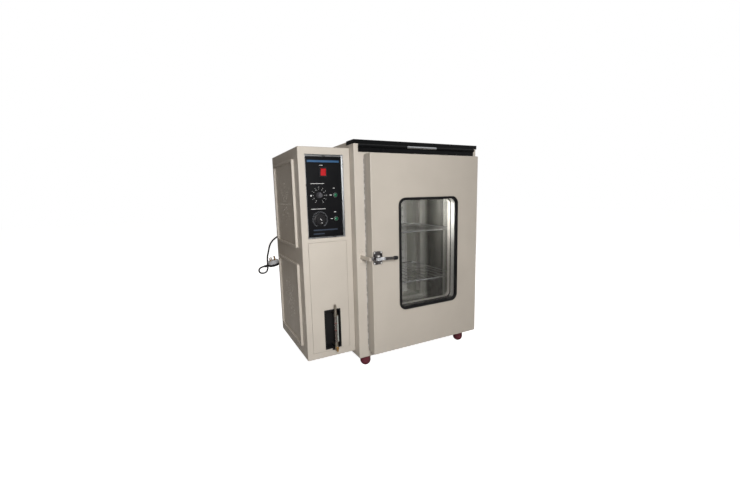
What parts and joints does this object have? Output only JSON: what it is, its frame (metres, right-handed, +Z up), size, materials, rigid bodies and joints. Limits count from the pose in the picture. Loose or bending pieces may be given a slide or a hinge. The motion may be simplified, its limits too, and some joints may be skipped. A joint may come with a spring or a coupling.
{
  "type": "humidity chamber",
  "caption": "Floor standing humidity chamber: double walled cabinet, door with window and lever latch, and a control box with dials, lamps and a water gauge at its side",
  "frame": {"origin": "centre of the bounding box's footprint, at floor level", "axes": "+Z up, the door faces -Y, the control box is at -X"},
  "size_m": [0.8818, 0.6958, 0.904],
  "materials": {
    "casing_paint": "smooth greige stove enamel",
    "door_paint": "smooth greige stove enamel",
    "black_paint": "satin black",
    "stainless": "fine brushed stainless",
    "door_back": "light grey enamel",
    "bright_wire": "plated wire",
    "chrome": "bright plating",
    "nickel": "dull nickel",
    "black_steel": "blackened",
    "silver_trim": "satin anodised",
    "hinge_steel": "plain steel",
    "fan_metal": "plain aluminium",
    "motor_paint": "dark grey enamel",
    "tank_steel": "dull stainless",
    "heater_sheath": "heat darkened",
    "brass": "turned brass",
    "clear_glass": "clear",
    "green_lens": "translucent green",
    "red_plastic": "glossy red",
    "black_plastic": "moulded black",
    "grey_plastic": "moulded light grey",
    "black_rubber": "plain black",
    "window_rubber": "moulded black",
    "door_seal": "grey sponge rubber",
    "maroon_rubber": "moulded maroon",
    "glass_wool": "packed glass wool"
  },
  "bodies": {
    "cabinet": {"outer_casing": "casing_paint", "back_panel": "casing_paint", "inner_liner": "stainless", "insulation": "glass_wool", "top_cap": "black_paint", "fascia": "black_paint", "badge_plate": "silver_trim", "feet": "maroon_rubber", "shelf_rails": "stainless", "shelf_lower": "bright_wire", "shelf_upper": "bright_wire", "air_baffle": "stainless", "fan_motor": "motor_paint", "heater_ring": "heater_sheath", "hinge_leaves_frame": "hinge_steel", "hinge_pins": "hinge_steel", "strike_plate": "chrome", "control_casing": "casing_paint", "control_back": "casing_paint", "service_cover": "casing_paint", "vent_covers": "casing_paint", "panel_bezel": "silver_trim", "control_panel": "black_paint", "panel_screws": "black_steel", "switch_frame": "black_plastic", "controllers": "black_plastic", "lamp_bezels": "chrome", "lamp_lenses": "green_lens", "gauge_edging": "black_rubber", "sight_tube": "clear_glass", "gauge_fittings": "nickel", "water_tank": "tank_steel", "tank_heater": "tank_steel", "cord_hook": "hinge_steel", "cable_gland": "black_plastic", "cord_coil": "black_rubber", "cord_runs": "black_rubber", "plug_body": "grey_plastic", "plug_cover": "black_plastic", "plug_pins": "brass"},
    "fan": {"fan_wheel": "fan_metal"},
    "door": {"door_outer": "door_paint", "door_inner": "door_back", "door_insulation": "glass_wool", "window_gasket": "window_rubber", "window_glass_outer": "clear_glass", "window_reveal": "stainless", "window_seal_inner": "black_rubber", "window_glass_inner": "clear_glass", "door_gasket": "door_seal", "hinge_leaves_door": "hinge_steel", "latch_plate": "chrome", "latch_fixings": "chrome"},
    "handle": {"latch_handle": "chrome", "handle_grip": "black_plastic"},
    "bolt": {"latch_bolt": "chrome"},
    "power_rocker": {"rocker": "red_plastic"},
    "temperature_knob": {"thermostat_knob": "black_plastic"},
    "humidity_dial": {"humidity_knob": "black_plastic"},
    "cock": {"cock_key": "brass"}
  },
  "joints": [
    {"name": "door_hinge", "type": "hinge", "parent": "cabinet", "child": "door", "pos_m": [0.3655, -0.27313, 0.4685], "axis": [0, 0, 1], "range_deg": [0, 120]},
    {"name": "handle_pivot", "type": "hinge", "parent": "door", "child": "handle", "pos_m": [-0.1455, -0.32813, 0.467], "axis": [0, 0, -1], "range_deg": [-10, 30]},
    {"name": "bolt_slide", "type": "slide", "parent": "door", "child": "bolt", "axis": [1, 0, 0], "range_m": [-0.003, 0.0089]},
    {"name": "fan_spin", "type": "hinge", "parent": "cabinet", "child": "fan", "pos_m": [0.0985, 0.19637, 0.5411], "axis": [0, 1, 0], "continuous": true},
    {"name": "power_switch", "type": "hinge", "parent": "cabinet", "child": "power_rocker", "pos_m": [-0.2965, -0.18813, 0.789], "axis": [-1, 0, 0], "range_deg": [0, 16]},
    {"name": "temperature_turn", "type": "hinge", "parent": "cabinet", "child": "temperature_knob", "pos_m": [-0.3155, -0.19013, 0.704], "axis": [0, -1, 0], "range_deg": [-270, 0]},
    {"name": "humidity_turn", "type": "hinge", "parent": "cabinet", "child": "humidity_dial", "pos_m": [-0.3155, -0.19013, 0.615], "axis": [0, -1, 0], "range_deg": [-270, 0]},
    {"name": "cock_turn", "type": "hinge", "parent": "cabinet", "child": "cock", "pos_m": [-0.2795, -0.22313, 0.1112], "axis": [0, -1, 0], "range_deg": [0, 90]}
  ],
  "couplings": [
    {"joint": "bolt_slide", "follows": "handle_pivot", "m_per_rad": 0.0166}
  ]
}
